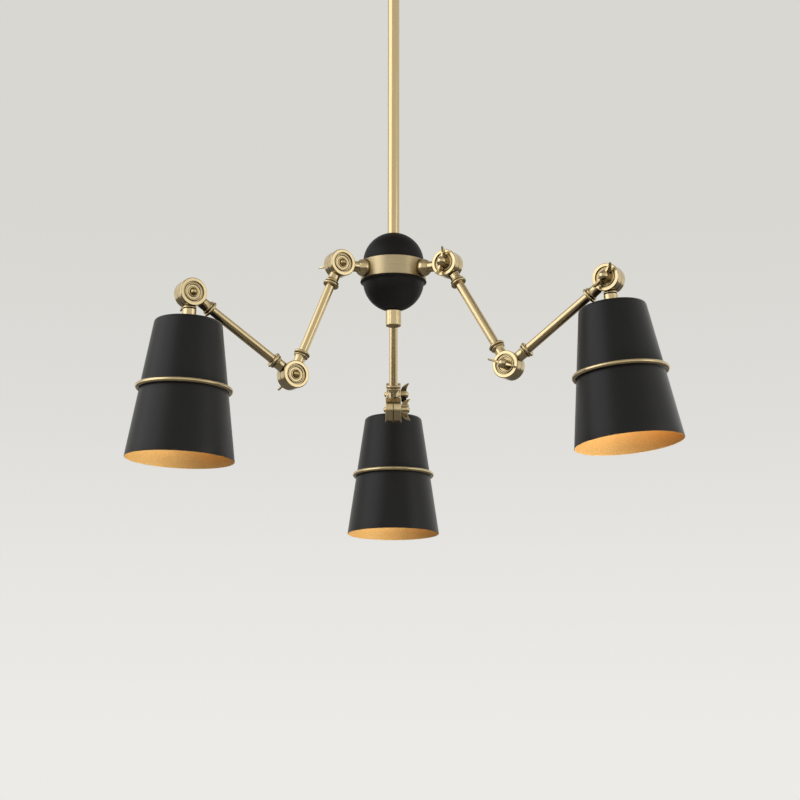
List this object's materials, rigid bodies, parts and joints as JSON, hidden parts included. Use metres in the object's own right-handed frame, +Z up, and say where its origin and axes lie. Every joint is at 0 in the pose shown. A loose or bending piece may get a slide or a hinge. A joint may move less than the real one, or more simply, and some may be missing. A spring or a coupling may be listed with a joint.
{
  "type": "adjustable arm chandelier",
  "caption": "Ceiling chandelier with a rod-hung capsule hub, jointed brass arms with wing-nut hinges and black conical shades with a brass wire ring.",
  "frame": {"origin": "centre of the ceiling face, midway between the two ceiling screws", "axes": "+Z up along the down rod, +X to the right seen from the picture's side, +Y to the back arm"},
  "size_m": [0.6854, 0.5755, 0.7981],
  "materials": {
    "brass": "satin, finely brushed",
    "bolt_brass": "polished",
    "hub_black": "matte powder coat",
    "shade_black": "matte powder coat outside, gold lacquer inside",
    "steel": "zinc plated",
    "holder_black": "moulded",
    "socket": "bright"
  },
  "bodies": {
    "root": {"ceiling_bracket": "steel", "canopy": "brass", "canopy_fixings": "brass", "rod_collar": "brass", "down_rod": "brass", "hub_dome": "hub_black", "hub_band": "brass", "hub_bowl": "hub_black", "hub_tie_rod": "steel", "hub_finial": "brass", "hub_knuckles": "brass", "hub_nuts": "steel"},
    "left_inner_link": {"left_inner_upper_knuckle": "brass", "left_inner_tube": "brass", "left_inner_lower_knuckle": "brass", "left_inner_bolts": "bolt_brass"},
    "left_outer_link": {"left_outer_lower_knuckle": "brass", "left_outer_tube": "brass", "left_outer_upper_knuckle": "brass"},
    "left_shade_head": {"left_shade_stem": "brass", "left_shade_bolt": "bolt_brass", "left_shade": "shade_black", "left_shade_ring": "brass", "left_lampholder": "holder_black", "left_lamp_socket": "socket"},
    "left_shoulder_wing_nut": {"left_shoulder_wing_nut": "brass"},
    "left_elbow_wing_nut": {"left_elbow_wing_nut": "brass"},
    "left_shade_wing_nut": {"left_shade_wing_nut": "brass"},
    "right_inner_link": {"right_inner_upper_knuckle": "brass", "right_inner_tube": "brass", "right_inner_lower_knuckle": "brass", "right_inner_bolts": "bolt_brass"},
    "right_outer_link": {"right_outer_lower_knuckle": "brass", "right_outer_tube": "brass", "right_outer_upper_knuckle": "brass"},
    "right_shade_head": {"right_shade_stem": "brass", "right_shade_bolt": "bolt_brass", "right_shade": "shade_black", "right_shade_ring": "brass", "right_lampholder": "holder_black", "right_lamp_socket": "socket"},
    "right_shoulder_wing_nut": {"right_shoulder_wing_nut": "brass"},
    "right_elbow_wing_nut": {"right_elbow_wing_nut": "brass"},
    "right_shade_wing_nut": {"right_shade_wing_nut": "brass"},
    "back_inner_link": {"back_inner_upper_knuckle": "brass", "back_inner_tube": "brass", "back_inner_lower_knuckle": "brass", "back_inner_bolts": "bolt_brass"},
    "back_outer_link": {"back_outer_lower_knuckle": "brass", "back_outer_tube": "brass", "back_outer_upper_knuckle": "brass"},
    "back_shade_head": {"back_shade_stem": "brass", "back_shade_bolt": "bolt_brass", "back_shade": "shade_black", "back_shade_ring": "brass", "back_lampholder": "holder_black", "back_lamp_socket": "socket"},
    "back_shoulder_wing_nut": {"back_shoulder_wing_nut": "brass"},
    "back_elbow_wing_nut": {"back_elbow_wing_nut": "brass"},
    "back_shade_wing_nut": {"back_shade_wing_nut": "brass"}
  },
  "joints": [
    {"name": "left_shoulder", "type": "hinge", "parent": "root", "child": "left_inner_link", "pos_m": [-0.07145, -0.04125, -0.47], "axis": [-0.5, 0.866, 0], "range_deg": [-18, 97]},
    {"name": "left_elbow", "type": "hinge", "parent": "left_inner_link", "child": "left_outer_link", "pos_m": [-0.12931, -0.07466, -0.62741], "axis": [-0.5, 0.866, 0], "range_deg": [-99, 31]},
    {"name": "left_shade_tilt", "type": "hinge", "parent": "left_outer_link", "child": "left_shade_head", "pos_m": [-0.25416, -0.14674, -0.53732], "axis": [0.5, -0.866, 0], "range_deg": [-119.5, 4]},
    {"name": "left_shoulder_nut_turn", "type": "hinge", "parent": "root", "child": "left_shoulder_wing_nut", "pos_m": [-0.07145, -0.04125, -0.47], "axis": [-0.5, 0.866, 0], "range_deg": [0, 270]},
    {"name": "left_elbow_nut_turn", "type": "hinge", "parent": "left_outer_link", "child": "left_elbow_wing_nut", "pos_m": [-0.12931, -0.07466, -0.62741], "axis": [-0.5, 0.866, 0], "range_deg": [0, 270]},
    {"name": "left_shade_nut_turn", "type": "hinge", "parent": "left_outer_link", "child": "left_shade_wing_nut", "pos_m": [-0.25416, -0.14674, -0.53732], "axis": [-0.5, 0.866, 0], "range_deg": [0, 270]},
    {"name": "right_shoulder", "type": "hinge", "parent": "root", "child": "right_inner_link", "pos_m": [0.07145, -0.04125, -0.47], "axis": [-0.5, -0.866, 0], "range_deg": [-26, 89]},
    {"name": "right_elbow", "type": "hinge", "parent": "right_inner_link", "child": "right_outer_link", "pos_m": [0.14772, -0.08529, -0.61658], "axis": [-0.5, -0.866, 0], "range_deg": [-93.5, 36]},
    {"name": "right_shade_tilt", "type": "hinge", "parent": "right_outer_link", "child": "right_shade_head", "pos_m": [0.26905, -0.15534, -0.52029], "axis": [0.5, 0.866, 0], "range_deg": [-118.5, 5]},
    {"name": "right_shoulder_nut_turn", "type": "hinge", "parent": "root", "child": "right_shoulder_wing_nut", "pos_m": [0.07145, -0.04125, -0.47], "axis": [-0.5, -0.866, 0], "range_deg": [0, 270]},
    {"name": "right_elbow_nut_turn", "type": "hinge", "parent": "right_outer_link", "child": "right_elbow_wing_nut", "pos_m": [0.14772, -0.08529, -0.61658], "axis": [-0.5, -0.866, 0], "range_deg": [0, 270]},
    {"name": "right_shade_nut_turn", "type": "hinge", "parent": "right_outer_link", "child": "right_shade_wing_nut", "pos_m": [0.26905, -0.15534, -0.52029], "axis": [-0.5, -0.866, 0], "range_deg": [0, 270]},
    {"name": "back_shoulder", "type": "hinge", "parent": "root", "child": "back_inner_link", "pos_m": [0, 0.0825, -0.47], "axis": [1, 0, 0], "range_deg": [-7.5, 107.5]},
    {"name": "back_elbow", "type": "hinge", "parent": "back_inner_link", "child": "back_outer_link", "pos_m": [0, 0.11951, -0.63695], "axis": [1, 0, 0], "range_deg": [-95.5, 34]},
    {"name": "back_shade_tilt", "type": "hinge", "parent": "back_outer_link", "child": "back_shade_head", "pos_m": [0, 0.28119, -0.58441], "axis": [-1, 0, 0], "range_deg": [-110, 14]},
    {"name": "back_shoulder_nut_turn", "type": "hinge", "parent": "root", "child": "back_shoulder_wing_nut", "pos_m": [0, 0.0825, -0.47], "axis": [1, 0, 0], "range_deg": [0, 270]},
    {"name": "back_elbow_nut_turn", "type": "hinge", "parent": "back_outer_link", "child": "back_elbow_wing_nut", "pos_m": [0, 0.11951, -0.63695], "axis": [1, 0, 0], "range_deg": [0, 270]},
    {"name": "back_shade_nut_turn", "type": "hinge", "parent": "back_outer_link", "child": "back_shade_wing_nut", "pos_m": [0, 0.28119, -0.58441], "axis": [1, 0, 0], "range_deg": [0, 270]}
  ]
}
